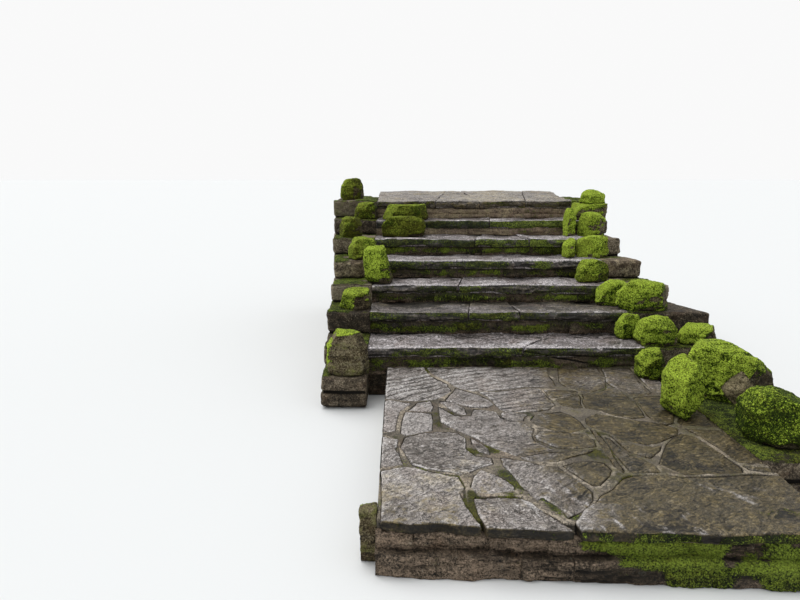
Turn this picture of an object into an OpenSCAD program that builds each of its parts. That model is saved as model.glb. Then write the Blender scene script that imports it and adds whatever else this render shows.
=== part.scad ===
// Outdoor stone steps: a paved landing, seven rising steps between rough edging stones
// Millimetres, +Z up, +Y up the flight, origin at the foot of the landing's front wall

/* [Landing] */
// Height of the landing's paving above the lowest ground
landing_h = 230; // [180:5:300]
// Front edge of the landing to the nosing of the first step
landing_depth = 2149; // [1700:1:2600]
// Middle of the flight to the landing's left edge
landing_left = 900; // [800:5:1000]
// Thickness of the paving flags
flag_t = 45; // [30:1:60]
// Mortar bed under the flags
bed_t = 20; // [15:1:35]
// How far the pointing lies below the top of the flags
pointing_drop = 7; // [3:1:15]
// Joint kept on each side of a flag's traced outline
flag_gap = 4; // [3:0.5:6]
// Open gap between a flag and the pointing
pointing_gap = 1.5; // [0.5:0.5:2.5]
// Thickness of the walls round the landing
landing_wall_t = 120; // [90:5:180]

/* [Flight] */
// Middle of the flight to its left cheek wall
flight_left = 1044; // [1020:2:1200]
// Middle of the flight to its right cheek wall
flight_right = 1060; // [900:5:1200]
// Thickness of the tread slabs
slab_t = 80; // [60:1:100]
// How far a nosing stands out over its riser
overhang = 35; // [20:1:50]
// Depth of the walling stones under a nosing
riser_d = 120; // [90:1:150]
// Top slabs, from the last nosing to the back wall's rear face
top_depth = 1043; // [800:1:1400]
// How far the top slabs climb to the back
top_climb = 80; // [20:1:120]

/* [Risers] */
// Rise of step 2, the first above the landing
rise_2 = 158; // [140:1:200]
// Rise of step 3
rise_3 = 184; // [140:1:200]
// Rise of step 4
rise_4 = 156; // [140:1:200]
// Rise of step 5
rise_5 = 166; // [140:1:200]
// Rise of step 6
rise_6 = 163; // [140:1:200]
// Rise of step 7
rise_7 = 149; // [140:1:200]
// Rise of step 8, the last
rise_8 = 183; // [140:1:200]

/* [Goings] */
// Going of step 2
going_2 = 393; // [340:1:450]
// Going of step 3
going_3 = 381; // [340:1:450]
// Going of step 4
going_4 = 344; // [330:1:450]
// Going of step 5
going_5 = 353; // [330:1:450]
// Going of step 6
going_6 = 371; // [340:1:450]
// Going of step 7
going_7 = 366; // [340:1:450]

/* [Walls] */
// How far the right cheek wall runs in front of the first nosing
right_wall_run = 1540; // [900:10:1700]
// How far the left cheek wall runs in front of the first nosing
left_wall_run = 250; // [150:10:600]
// Width of the left cheek wall at its front end
left_wall_w = 330; // [300:5:420]
// Thickness of the wall behind the top slabs
back_wall_t = 240; // [180:5:320]
// Usual length of a stone in the cheek walls and the back wall
stone_l = 330; // [240:10:480]
// How far the joints of those walls lie behind their stones
joint_depth = 26; // [10:1:40]
// Height of a joint in those walls
joint_h = 14; // [8:1:24]
// Gap between neighbouring stones of a course
stone_gap = 6; // [3:0.5:12]
// How far a rough face swings in and out
relief = 12; // [4:1:18]

/* [Hidden] */

RISES = [rise_2, rise_3, rise_4, rise_5, rise_6, rise_7, rise_8];
GOINGS = [going_2, going_3, going_4, going_5, going_6, going_7];
LAST = 8;

// Sum of the first n values of a list
function sum_first(list, n) = n <= 0 ? 0 : list[n - 1] + sum_first(list, n - 1);
// Height of walking level k, where level 1 is the landing
function top_z(k) = landing_h + sum_first(RISES, k - 1);
// Nosing of level k
function nose_y(k) = landing_depth + sum_first(GOINGS, k - 2);
// Front and back of the walling under nosing k
function face_y(k) = nose_y(k) + overhang;
function rear_y(k) = face_y(k) + riser_d;
back_y = nose_y(LAST) + top_depth;
core_top = landing_h - flag_t - bed_t;
// Hairline between a stone and what it leans on
seat = 0.3;
// Front ends of the cheek walls
right_wall_front = landing_depth - right_wall_run;
left_wall_front = landing_depth - left_wall_run;

stone_brown = [0.36, 0.31, 0.27];
stone_grey = [0.45, 0.42, 0.42];
stone_dark = [0.22, 0.21, 0.16];
moss_green = [0.45, 0.52, 0.12];
mortar_tan = [0.58, 0.51, 0.42];

// Repeatable value from -1 to 1 for three whole numbers
function noise(a, b, c) =
    let (v = sin(a * 127.1 + b * 311.7 + c * 74.7) * 43758.5453)
    2 * (v - floor(v)) - 1;
function mix(a, b, t) = a + (b - a) * t;

// Faces of a skin over rows of n points each, closed by flat ends
function skin(rows, n) = concat(
    [for (i = [0:rows - 2]) for (j = [0:n - 1])
        [i * n + j, i * n + (j + 1) % n, (i + 1) * n + (j + 1) % n]],
    [for (i = [0:rows - 2]) for (j = [0:n - 1])
        [i * n + j, (i + 1) * n + (j + 1) % n, (i + 1) * n + j]],
    [[for (j = [n - 1:-1:0]) j], [for (j = [0:n - 1]) (rows - 1) * n + j]]);

// One row of a rough-faced stone seen from its end: out from the front face, and up
function bar_row(y, back, h, seed, i, rough) = [
    [y + rough * (1 + 0.5 * noise(seed, i, 1)), 0],
    [y + rough * 0.5 * noise(seed, i, 2), 0.34 * h],
    [y + rough * 0.5 * noise(seed, i, 3), 0.72 * h],
    [y + rough * (0.8 + 0.4 * noise(seed, i, 4)), h],
    [back, h],
    [back, 0]];

// Stone with flat beds and a rough front. ends gives x at left and right, front and back
// give y, lean slants its ends in plan and climb raises it towards the back
module bar(ends, front, back, z, h, seed, lean = [0, 0], climb = 0, rough = relief, step = 160) {
    rows = max(3, round((ends[1] - ends[0]) / step) + 1);
    points = [for (i = [0:rows - 1])
        let (t = i / (rows - 1), y = mix(front[0], front[1], t))
        for (p = bar_row(y, back, h, seed, i, rough))
            [mix(ends[0], ends[1], t) + mix(lean[0], lean[1], t) * (p[0] - y), p[0],
                z + p[1] + climb * (p[0] - y)]];
    polyhedron(points, skin(rows, 6));
}

// Row of walling stones between two ends, cut at the shares in cuts
module course(ends, front, back, z, h, seed, cuts, rough = relief) {
    marks = concat([0], cuts, [1]);
    for (i = [0:len(marks) - 2])
        let (a = marks[i], b = marks[i + 1])
        bar([mix(ends[0], ends[1], a) + (a > 0 ? stone_gap / 2 : 0),
            mix(ends[0], ends[1], b) - (b < 1 ? stone_gap / 2 : 0)],
            [mix(front[0], front[1], a), mix(front[0], front[1], b)],
            back, z, h, seed + i, rough = rough, step = 110);
}

// Faces of a stone that closes in an apex over its last ring
function dome(rings, n) = concat(
    [for (j = [0:rings - 2]) for (i = [0:n - 1])
        [j * n + i, (j + 1) * n + i, (j + 1) * n + (i + 1) % n]],
    [for (j = [0:rings - 2]) for (i = [0:n - 1])
        [j * n + i, (j + 1) * n + (i + 1) % n, j * n + (i + 1) % n]],
    [for (i = [0:n - 1]) [(rings - 1) * n + i, rings * n, (rings - 1) * n + (i + 1) % n]],
    [[for (i = [0:n - 1]) i]]);

// Edging stone split to rough flat faces, on a flat bed. size is its width, depth and height,
// corners how many it has in plan, taper the width left near its top, lean moves its top
// sideways and slope tips its top
RINGS = [0, 0.16, 0.62, 0.9];
module boulder(size, seed, corners = 8, taper = 0.74, lean = [0, 0], slope = [0, 0]) {
    widths = [0.9, 1, 0.97, taper];
    blunt = 3;
    raw = [for (j = [0:len(RINGS) - 1]) for (i = [0:corners - 1])
        let (a = (i + 0.3 * noise(seed, i, 1) + 0.08 * noise(seed, i, j + 2)) * 360 / corners + 9,
            r = pow(pow(abs(cos(a)), blunt) + pow(abs(sin(a)), blunt), -1 / blunt),
            k = r * widths[j] * (0.93 + 0.07 * noise(seed, i, j + 9)))
            [k * cos(a), k * sin(a)]];
    wide = max([for (p = raw) abs(p[0])]);
    deep = max([for (p = raw) abs(p[1])]);
    points = [for (j = [0:len(RINGS) - 1]) for (i = [0:corners - 1])
        let (t = RINGS[j], p = raw[j * corners + i],
            x = p[0] / wide * size[0] / 2, y = p[1] / deep * size[1] / 2,
            uneven = j == 3 ? 0.07 * noise(seed, i, 20) : 0)
            [x + lean[0] * t, y + lean[1] * t,
                t == 0 ? 0 : (t + uneven) * size[2] + (slope[0] * x + slope[1] * y) * t]];
    polyhedron(concat(points, [[lean[0], lean[1], size[2]]]), dome(len(RINGS), corners));
}

// Edging stone beside level k: along is its front, measured from nosing k, and across its
// middle, measured outwards from the cheek wall's inner face
module right_stone(k, along, across, size, seed, corners = 8, taper = 0.74, lean = [0, 0],
    slope = [0, 0]) {
    translate([flight_right + across, nose_y(k) + along + size[1] / 2, top_z(k)])
        boulder(size, seed, corners, taper, lean, slope);
}
module left_stone(k, along, across, size, seed, corners = 8, taper = 0.74, lean = [0, 0],
    slope = [0, 0]) {
    translate([-flight_left - across, nose_y(k) + along + size[1] / 2, top_z(k)])
        boulder(size, seed, corners, taper, lean, slope);
}

// Traced crazy paving, on a landing that reached this far left, right and back
TRACED = [900, 1060, 2149];
function on_landing(p) = [
    p[0] * (p[0] < 0 ? landing_left / TRACED[0] : flight_right / TRACED[1]),
    p[1] * landing_depth / TRACED[2]];

FLAGS_FRONT = [
    [[-900, 530], [-800, 570], [-720, 570], [-580, 500], [-510, 480], [-490, 360], [-520, 310],
        [-500, 200], [-455, 40], [-640, 66], [-760, 54], [-884, 85], [-886, 240]],
    [[-470, 280], [-350, 290], [-240, 280], [-200, 200], [-130, 110], [-72, 14], [-180, 8],
        [-270, 22], [-436, 30], [-462, 130]],
    [[-400, 540], [-340, 510], [-280, 440], [-255, 380], [-260, 340], [-380, 310], [-450, 320],
        [-470, 380], [-440, 480]],
    [[-280, 580], [-280, 680], [-240, 680], [-80, 590], [0, 570], [20, 520], [70, 400],
        [100, 330], [80, 260], [20, 180], [-80, 100], [-100, 200], [-150, 280], [-180, 240],
        [-230, 400], [-250, 500]],
    [[120, 300], [200, 360], [280, 460], [320, 480], [500, 490], [580, 470], [750, 480],
        [920, 500], [1060, 480], [1060, -20], [760, -8], [550, -26], [300, -4],
        [-46, 8], [-60, 70], [0, 150], [80, 240]],
    [[20, 580], [100, 630], [200, 640], [250, 620], [260, 540], [230, 480], [150, 380],
        [110, 380], [70, 460]],
    [[300, 1060], [330, 1000], [340, 830], [320, 680], [320, 530], [300, 500], [280, 580],
        [290, 730]],
    [[350, 930], [380, 880], [390, 780], [410, 710], [470, 650], [490, 580], [490, 510],
        [340, 510], [330, 730]],
    [[520, 610], [580, 710], [650, 830], [720, 910], [800, 980], [860, 930], [900, 680],
        [920, 560], [900, 510], [600, 490], [550, 550]],
    [[930, 580], [1060, 560], [1060, 510], [940, 530]],
    [[-780, 920], [-700, 970], [-630, 990], [-520, 1000], [-470, 980], [-430, 900],
        [-440, 780], [-400, 700], [-320, 680], [-320, 600], [-400, 560], [-450, 510],
        [-500, 490], [-580, 520], [-670, 550], [-740, 590], [-780, 730], [-800, 800]],
    [[-900, 940], [-810, 880], [-820, 760], [-790, 650], [-780, 600], [-900, 560]],
    [[850, 1036], [1060, 1015], [1060, 604], [938, 622], [908, 800], [880, 950]]];

FLAGS_BACK = [
    [[-410, 930], [-320, 800], [-320, 700], [-380, 740], [-410, 830]],
    [[-180, 680], [-50, 735], [100, 752], [250, 760], [180, 715], [100, 680], [0, 620],
        [-140, 640]],
    [[-40, 930], [0, 1000], [60, 1000], [250, 960], [280, 880], [265, 795], [170, 772],
        [50, 778], [-40, 880]],
    [[-560, 1380], [-530, 1350], [-460, 1240], [-370, 1230], [-340, 1340], [-250, 1320],
        [-200, 1280], [-190, 1220], [-150, 1160], [-70, 1130], [-20, 1030], [-50, 950],
        [-50, 880], [30, 760], [-150, 730], [-190, 690], [-250, 740], [-310, 800],
        [-370, 890], [-440, 980], [-510, 1060], [-560, 1130]],
    [[-770, 1280], [-700, 1290], [-600, 1270], [-600, 1180], [-610, 1010], [-670, 990],
        [-770, 940], [-800, 980], [-790, 1160]],
    [[-750, 1310], [-720, 1380], [-690, 1450], [-600, 1480], [-585, 1380], [-600, 1290],
        [-680, 1300]],
    [[-170, 1280], [-80, 1270], [-10, 1250], [-40, 1200], [-60, 1150], [-120, 1145],
        [-170, 1180], [-185, 1230]],
    [[-20, 1160], [20, 1240], [120, 1280], [200, 1300], [250, 1240], [280, 1140],
        [280, 1030], [180, 980], [100, 990], [0, 1080]],
    [[320, 1190], [400, 1250], [480, 1220], [580, 1170], [700, 1140], [780, 1090],
        [820, 1040], [780, 960], [700, 900], [610, 840], [550, 825], [490, 850], [440, 910],
        [380, 980], [320, 1050], [300, 1110]],
    [[380, 960], [445, 880], [500, 815], [565, 798], [630, 825], [590, 750], [500, 660],
        [420, 730], [400, 830]],
    [[740, 1530], [820, 1560], [930, 1570], [960, 1430], [920, 1280], [880, 1230],
        [820, 1110], [770, 1090], [720, 1140], [710, 1230], [730, 1380]],
    [[420, 1610], [500, 1610], [600, 1680], [650, 1750], [700, 1640], [730, 1480],
        [710, 1280], [690, 1200], [600, 1180], [500, 1230], [450, 1300], [370, 1350],
        [380, 1460], [410, 1540]],
    [[220, 1500], [300, 1540], [400, 1610], [400, 1530], [370, 1440], [360, 1360],
        [300, 1350], [230, 1400]],
    [[-270, 1630], [-150, 1650], [-20, 1690], [150, 1700], [170, 1630], [185, 1530],
        [200, 1400], [130, 1320], [50, 1290], [-100, 1280], [-160, 1300], [-190, 1380],
        [-200, 1480], [-230, 1560]],
    [[180, 1670], [300, 1680], [400, 1665], [410, 1630], [350, 1580], [200, 1515],
        [185, 1560]],
    [[-420, 1730], [-310, 1625], [-250, 1570], [-210, 1480], [-200, 1410], [-240, 1360],
        [-350, 1355], [-390, 1380], [-440, 1430], [-510, 1490], [-470, 1580], [-430, 1680]],
    [[-550, 1470], [-500, 1480], [-440, 1420], [-390, 1360], [-385, 1252], [-425, 1245],
        [-472, 1300], [-520, 1392]],
    [[-900, 1520], [-780, 1480], [-700, 1470], [-580, 1495], [-512, 1550], [-445, 1660],
        [-470, 1800], [-580, 1980], [-620, 2160], [-900, 2160], [-900, 1860]],
    [[-600, 2160], [-560, 2000], [-460, 1840], [-420, 1750], [-370, 1690], [-300, 1645],
        [-160, 1660], [-50, 1695], [80, 1740], [250, 1730], [290, 1760], [300, 1880],
        [290, 1980], [320, 2160]],
    [[350, 1930], [400, 2160], [700, 2160], [690, 1930], [650, 1800], [630, 1730],
        [580, 1690], [500, 1630], [440, 1610], [400, 1680], [340, 1760], [330, 1860]],
    [[730, 2160], [950, 2160], [920, 1930], [900, 1730], [910, 1630], [860, 1580],
        [760, 1560], [720, 1630], [670, 1760], [660, 1830], [700, 1980]],
    [[970, 2160], [1060, 2160], [1060, 1600], [940, 1610], [920, 1680], [930, 1880]],
    [[980, 1570], [1060, 1560], [1060, 1060], [850, 1080], [850, 1130], [900, 1210],
        [960, 1300], [990, 1430]],
    [[-900, 990], [-826, 1000], [-816, 1160], [-802, 1290], [-776, 1330], [-746, 1400],
        [-720, 1442], [-780, 1454], [-900, 1490]]];

// Outline in the order that runs anticlockwise from above
function turn(p) =
    sum_first([for (i = [0:len(p) - 1]) let (q = p[(i + 1) % len(p)])
        p[i][0] * q[1] - q[0] * p[i][1]], len(p));
function anticlockwise(p) = turn(p) > 0 ? p : [for (i = [len(p) - 1:-1:0]) p[i]];
function unit(v) = v / norm(v);
// Outline moved inwards by d along both edges of each corner
function inset(p, d) = [for (i = [0:len(p) - 1])
    let (n = len(p), a = unit(p[i] - p[(i + n - 1) % n]), b = unit(p[(i + 1) % n] - p[i]),
        m = [-a[1] - b[1], a[0] + b[0]], s = max(0.35, norm(m) / 2))
    p[i] + unit(m) * d / s];
// The same outline with its lowest corner second, so that it starts round a convex corner
function from_corner(p) = let (ys = [for (q = p) q[1]], n = len(p), s = search(min(ys), ys)[0] + n - 1)
    [for (i = [0:n - 1]) p[(s + i) % n]];
function flag_outline(p) = from_corner(anticlockwise([for (q = p) on_landing(q)]));

// One flag with worn top edges, lying on the bed
module flag(p, wear = 6) {
    low = inset(flag_outline(p), flag_gap);
    high = inset(low, wear);
    n = len(p);
    points = concat([for (q = low) [q[0], q[1], 0]], [for (q = low) [q[0], q[1], flag_t - wear]],
        [for (q = high) [q[0], q[1], flag_t]]);
    faces = concat(
        [for (j = [0:1]) for (i = [0:n - 1]) [j * n + i, (j + 1) * n + i, (j + 1) * n + (i + 1) % n]],
        [for (j = [0:1]) for (i = [0:n - 1]) [j * n + i, (j + 1) * n + (i + 1) % n, j * n + (i + 1) % n]],
        [[for (i = [0:n - 1]) i], [for (i = [n + 2:-1:3]) 2 * n + i % n]]);
    translate([0, 0, core_top + bed_t]) polyhedron(points, faces);
}

// Front line of the landing at x
FRONT_LEFT = 80;
FRONT_RIGHT = -20;
function front_y(x) = mix(FRONT_LEFT, FRONT_RIGHT,
    (x + landing_left) / (landing_left + flight_right));
footing = 45;

module landing_core() {
    color(stone_dark) linear_extrude(core_top) polygon([
        [-landing_left + landing_wall_t, FRONT_LEFT + landing_wall_t],
        [flight_right - landing_wall_t, FRONT_LEFT + landing_wall_t],
        [flight_right - landing_wall_t, right_wall_front],
        [flight_right, right_wall_front],
        [flight_right, rear_y(2)],
        [-flight_left, rear_y(2)],
        [-flight_left, face_y(2)],
        [-landing_left + landing_wall_t, face_y(2)]]);
}
module landing_front_wall() {
    ends = [-landing_left, flight_right];
    footing_h = core_top * 0.55;
    color(stone_brown) course(ends, [FRONT_LEFT - footing, FRONT_RIGHT - footing],
        FRONT_LEFT + landing_wall_t, 0, footing_h - seat, 11, [0.13, 0.31, 0.42, 0.6, 0.71, 0.88]);
    color(stone_brown) course(ends, [FRONT_LEFT, FRONT_RIGHT],
        FRONT_LEFT + landing_wall_t, footing_h, core_top - footing_h, 31,
        [0.08, 0.24, 0.37, 0.48, 0.66, 0.8, 0.93]);
}
module landing_side_walls() {
    y = FRONT_LEFT + landing_wall_t;
    color(stone_brown) translate([-landing_left, y, 0])
        cube([landing_wall_t, face_y(2) - y, core_top]);
    color(stone_brown) translate([flight_right - landing_wall_t, y, 0])
        cube([landing_wall_t, right_wall_front - y, core_top]);
}
module landing_bed() {
    color(mortar_tan) difference() {
        translate([0, 0, core_top]) linear_extrude(bed_t + flag_t - pointing_drop) polygon([
            [-landing_left, FRONT_LEFT + 30], [flight_right, FRONT_RIGHT + 30],
            [flight_right, face_y(2)], [-landing_left, face_y(2)]]);
        translate([0, 0, core_top + bed_t])
            for (p = concat(FLAGS_FRONT, FLAGS_BACK)) linear_extrude(flag_t)
                polygon(inset(flag_outline(p), flag_gap - pointing_gap));
    }
}
module landing_flags_front() {
    color(stone_brown) for (p = FLAGS_FRONT) flag(p);
}
module landing_flags_back() {
    color(stone_grey) for (p = FLAGS_BACK) flag(p);
}

module flight_core() {
    color(stone_dark) rotate([90, 0, 90]) translate([0, 0, -flight_left])
        linear_extrude(flight_left + flight_right) polygon(concat(
            [[rear_y(2), 0]],
            [for (k = [2:LAST]) for (p = [[rear_y(k), k == 2 ? 0 : top_z(k - 1) - slab_t],
                [rear_y(k), top_z(k) - slab_t]]) if (p[1] > 0) p],
            [[back_y - back_wall_t, top_z(LAST) - slab_t + climb_at(back_y - back_wall_t)],
                [back_y - back_wall_t, 0]]));
}
// Height that the top slabs have gained at y
function climb_at(y) = top_climb * max(0, y - nose_y(LAST)) / top_depth;

// Walling stones under nosing k
CUTS = [[0.12, 0.3, 0.52, 0.66, 0.85], [0.2, 0.34, 0.55, 0.78], [0.1, 0.26, 0.48, 0.62, 0.86],
    [0.16, 0.4, 0.57, 0.8], [0.14, 0.29, 0.5, 0.72, 0.9], [0.22, 0.45, 0.6, 0.83],
    [0.11, 0.3, 0.52, 0.66, 0.84]];
module riser(k) {
    foot = k == 2 ? core_top : top_z(k - 1);
    color(stone_dark) course([-flight_left, flight_right], [face_y(k), face_y(k)], rear_y(k),
        foot, top_z(k) - slab_t - foot, 50 + 10 * k, CUTS[k - 2]);
}
module riser_8_courses() {
    foot = top_z(LAST - 1);
    low = 45;
    h = top_z(LAST) - slab_t - foot;
    color(stone_brown) course([-flight_left, flight_right], [face_y(LAST), face_y(LAST)],
        rear_y(LAST), foot, low - seat, 130, [0.18, 0.44, 0.67, 0.88]);
    color(stone_brown) course([-flight_left, flight_right], [face_y(LAST), face_y(LAST)],
        rear_y(LAST), foot + low, h - low, 140, [0.11, 0.3, 0.52, 0.62, 0.84]);
}

// Slabs of level k, parted at the joints, each with its x at the nosing and its slant
JOINTS = [[[130, 0.75]], [[-243, 0.15], [179, -0.1]], [[-293, 0.2]], [[250, -0.2]],
    [[-71, 0.3], [464, -0.2]], [[120, 0.15]]];
module slabs(k, joints, back, climb = 0) {
    marks = concat([[-flight_left, 0]], joints, [[flight_right, 0]]);
    last = len(marks) - 2;
    for (i = [0:last])
        bar([marks[i][0] + (i > 0 ? stone_gap / 2 : 0),
            marks[i + 1][0] - (i < last ? stone_gap / 2 : 0)],
            [nose_y(k), nose_y(k)], back, top_z(k) - slab_t, slab_t, 200 + 10 * k + i,
            [marks[i][1], marks[i + 1][1]], climb, relief * 1.2, 130);
}
module tread(k) {
    color(stone_grey) slabs(k, JOINTS[k - 2], rear_y(k + 1));
}
module top_slabs() {
    color(stone_brown) slabs(LAST, [[-420, 0.2], [60, -0.1], [560, 0.15]], back_y,
        top_climb / top_depth);
}

// Outer faces of the cheek walls: y, and the distance outwards from the flight
RIGHT_FACE = [[right_wall_front, 430], [landing_depth - 750, 690], [nose_y(3) - 60, 700],
    [nose_y(4) - 20, 500], [nose_y(6) - 100, 290], [back_y, 280]];
LEFT_FACE = [[left_wall_front, left_wall_w], [nose_y(5), left_wall_w + 40],
    [nose_y(8) + 40, left_wall_w + 150], [back_y, left_wall_w + 130]];

// Courses of the walls are two under the landing, 0 and 1, and one for each rise above it
function course_z(c) = c == 0 ? 0 : (c == 1 ? landing_h / 2 : top_z(c - 1));
function course_h(c) = c < 2 ? landing_h / 2 : RISES[c - 2];

// Half of how far the faces of neighbouring stones stand apart
face_swing = 7;
// Places of the upright joints of a course between a and b
function joints(course, a, b) = [
    for (i = [0:floor((b - a) / stone_l) + 1])
        let (p = a + (i + 0.5 + 0.5 * (course % 2) + 0.25 * noise(course, i, 7)) * stone_l)
        if (p > a + 0.35 * stone_l && p < b - 0.35 * stone_l) p];
// Rough outline of a course along one face: face gives the distance out at a place
function course_face(course, face, marks) = [
    for (i = [0:len(marks) - 2])
        let (a = marks[i] + (i > 0 ? joint_h / 2 : 0),
            b = marks[i + 1] - (i < len(marks) - 2 ? joint_h / 2 : 0),
            back = face_swing * (1 + noise(course, i, 8)))
        for (p = concat(
            [[a, lookup(a, face) - back], [b, lookup(b, face) - back]],
            i < len(marks) - 2 ? [[b, lookup(b, face) - joint_depth],
                [marks[i + 1] + joint_h / 2, lookup(marks[i + 1] + joint_h / 2, face) - joint_depth]]
                : []))
            p];

// Fills a bed joint at height z, and reaches a hairline into the stones on both sides of it
module bed_joint(z) {
    low = z > 0 ? seat : 0;
    translate([0, 0, z - low]) linear_extrude(joint_h + low + seat) children();
}

// Course c of a cheek wall from a to b, over a recessed bed joint that is set back at its
// front and its rear by the two values of ends
module cheek_course(side, c, face, a, b, ends) {
    inner = side > 0 ? flight_right : -flight_left;
    line = course_face(c, face, concat([a], joints(c, a, b), [b]));
    translate([0, 0, course_z(c) + joint_h]) linear_extrude(course_h(c) - joint_h) polygon([
        for (p = concat([[a, 0]], line, [[b, 0]])) [inner + side * p[1], p[0]]]);
    from = a + ends[0];
    to = b - ends[1];
    bends = [for (q = face) if (q[0] > from + joint_depth && q[0] < to - joint_depth) q[0]];
    bed_joint(course_z(c)) polygon([
        for (p = concat([[from, 0]],
            [for (y = concat([from], bends, [to])) [y, lookup(y, face) - joint_depth]],
            [[to, 0]]))
            [inner + side * p[1], p[0]]]);
}
// Stretch of a cheek wall whose top follows levels first to last of the flight
module cheek(side, face, first, last, front, back) {
    for (c = [0:last])
        cheek_course(side, c, face, c > max(1, first) ? nose_y(c) : front, back,
            [first == 1 || c > first ? joint_depth : 0, last == LAST ? joint_depth : 0]);
}
module right_wall_lower() {
    color(stone_dark) cheek(1, RIGHT_FACE, 1, 1, right_wall_front, nose_y(2));
}
module right_wall_middle() {
    color(stone_dark) cheek(1, RIGHT_FACE, 2, 4, nose_y(2), nose_y(5));
}
module right_wall_upper() {
    color(stone_dark) cheek(1, RIGHT_FACE, 5, 8, nose_y(5), back_y);
}
module left_wall() {
    color(stone_dark) cheek(-1, LEFT_FACE, 1, 8, left_wall_front, back_y);
}

// Wall behind the top slabs, in the same courses, with the top one cut to the slabs' climb
module back_wall() {
    inner = back_y - back_wall_t;
    rear = [[-flight_left, back_wall_t], [flight_right, back_wall_t]];
    color(stone_brown) for (c = [0:LAST - 1])
        let (order = c + 20,
            marks = concat([-flight_left], joints(order, -flight_left, flight_right),
                [flight_right])) {
            translate([0, 0, course_z(c) + joint_h]) linear_extrude(course_h(c) - joint_h) polygon([
                for (p = concat([[-flight_left, 0]], course_face(order, rear, marks),
                    [[flight_right, 0]])) [p[0], inner + p[1]]]);
            bed_joint(course_z(c)) translate([-flight_left, inner])
                square([flight_left + flight_right, back_wall_t - joint_depth]);
        }
    low = top_z(LAST - 1) - seat;
    high = top_z(LAST) - slab_t;
    face = back_y - joint_depth / 2;
    color(stone_brown) rotate([90, 0, 90]) translate([0, 0, -flight_left])
        linear_extrude(flight_left + flight_right) polygon([[inner, low], [face, low],
            [face, high + climb_at(face)], [inner, high + climb_at(inner)]]);
}

// Edging stones on the right, from the front up
module right_stone_front() {
    color(moss_green) right_stone(1, -1429, 240, [400, 380, 280], 3, 8, 0.66);
}
module right_stone_large() {
    color(moss_green) right_stone(1, -819, 340, [580, 560, 345], 4, 7, 0.72, slope = [-0.22, 0.1]);
}
module right_stone_tall() {
    color(moss_green) right_stone(1, -1039, -135, [230, 260, 390], 5, 6, 0.5, lean = [15, 50]);
}
module right_stone_low() {
    color(moss_green) right_stone(1, -299, -34, [205, 215, 219], 6, 8, 0.7);
}
module right_stones_level_2() {
    color(moss_green) right_stone(2, 20, 120, [320, 205, 223], 7, 7, 0.66, slope = [-0.1, 0]);
    color(moss_green) right_stone(2, 20, 460, [345, 240, 147], 8, 7, 0.8);
    color(moss_green) right_stone(2, 236, -25, [205, 150, 205], 9, 6, 0.7);
}
module right_stone_broad() {
    color(moss_green) right_stone(3, 15, 176, [478, 175, 258], 10, 8, 0.64, slope = [-0.12, 0]);
}
module right_stone_level_3() {
    color(moss_green) right_stone(3, 205, -37, [285, 160, 215], 11, 7, 0.8);
}
module right_stone_level_4() {
    color(moss_green) right_stone(4, 87, -132, [290, 220, 204], 12, 7, 0.7, slope = [0.12, 0]);
}
module right_stones_level_5() {
    color(moss_green) right_stone(5, 175, -241, [120, 150, 187], 13, 6, 0.7);
    color(moss_green) right_stone(5, 175, -14, [318, 160, 211], 14, 8, 0.9);
}
module right_stones_level_6() {
    color(moss_green) right_stone(6, 180, -147, [126, 170, 305], 15, 6, 0.6);
    color(moss_green) right_stone(6, 180, 79, [300, 175, 252], 16, 6, 0.82, slope = [-0.08, 0]);
}
slab_low_h = 165;
module right_slab_low() {
    color(stone_brown) bar([flight_right - 34, flight_right + 290],
        [nose_y(7) + 60, nose_y(7) + 70], nose_y(7) + 325, top_z(7), slab_low_h, 17);
}
module right_slab_top() {
    color(moss_green) translate([flight_right + 150, nose_y(7) + 190, top_z(7) + slab_low_h])
        boulder([285, 235, 150], 18, 6, 0.42);
}

// Edging stones on the left, from the front up
module left_stones_low() {
    color(moss_green) bar([-landing_left - 74, -landing_left - seat], [110, 118], 262, 0, 243, 21);
    color(moss_green) left_stone(1, -224, 137, [322, 210, 345], 22, 7, 0.86);
}
module left_stone_level_3() {
    color(moss_green) left_stone(3, 20, 127, [262, 300, 165], 23, 7, 0.86);
}
module left_stone_level_4() {
    color(moss_green) left_stone(4, 28, -69, [250, 290, 340], 24, 7, 0.7, lean = [-50, 0]);
}
module left_stone_level_5() {
    color(moss_green) left_stone(5, 25, 106, [280, 300, 200], 25);
}
module left_stones_level_6() {
    color(moss_green) left_stone(6, 30, 246, [220, 300, 205], 26);
    color(moss_green) left_stone(6, 180, -305, [500, 170, 208], 27, 8, 0.86);
}
module left_stones_level_7() {
    color(moss_green) left_stone(7, 105, 116, [250, 230, 182], 28);
    color(moss_green) left_stone(7, 70, -304, [540, 255, 165], 29, 8, 0.86);
}
module left_stone_top() {
    color(moss_green) left_stone(8, 140, 291, [260, 260, 250], 30);
}

landing_core();
landing_front_wall();
landing_side_walls();
landing_bed();
landing_flags_front();
landing_flags_back();
flight_core();
riser(2);  // riser_2
riser(3);  // riser_3
riser(4);  // riser_4
riser(5);  // riser_5
riser(6);  // riser_6
riser(7);  // riser_7
riser_8_courses();  // riser_8
tread(2);  // tread_2
tread(3);  // tread_3
tread(4);  // tread_4
tread(5);  // tread_5
tread(6);  // tread_6
tread(7);  // tread_7
top_slabs();
right_wall_lower();
right_wall_middle();
right_wall_upper();
left_wall();
back_wall();
right_stone_front();
right_stone_large();
right_stone_tall();
right_stone_low();
right_stones_level_2();
right_stone_broad();
right_stone_level_3();
right_stone_level_4();
right_stones_level_5();
right_stones_level_6();
right_slab_low();
right_slab_top();
left_stones_low();
left_stone_level_3();
left_stone_level_4();
left_stone_level_5();
left_stones_level_6();
left_stones_level_7();
left_stone_top();
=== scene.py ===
# Outdoor stone steps: the finish of every slab, flag, wall and edging stone, in metres
import math
from itertools import product

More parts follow.
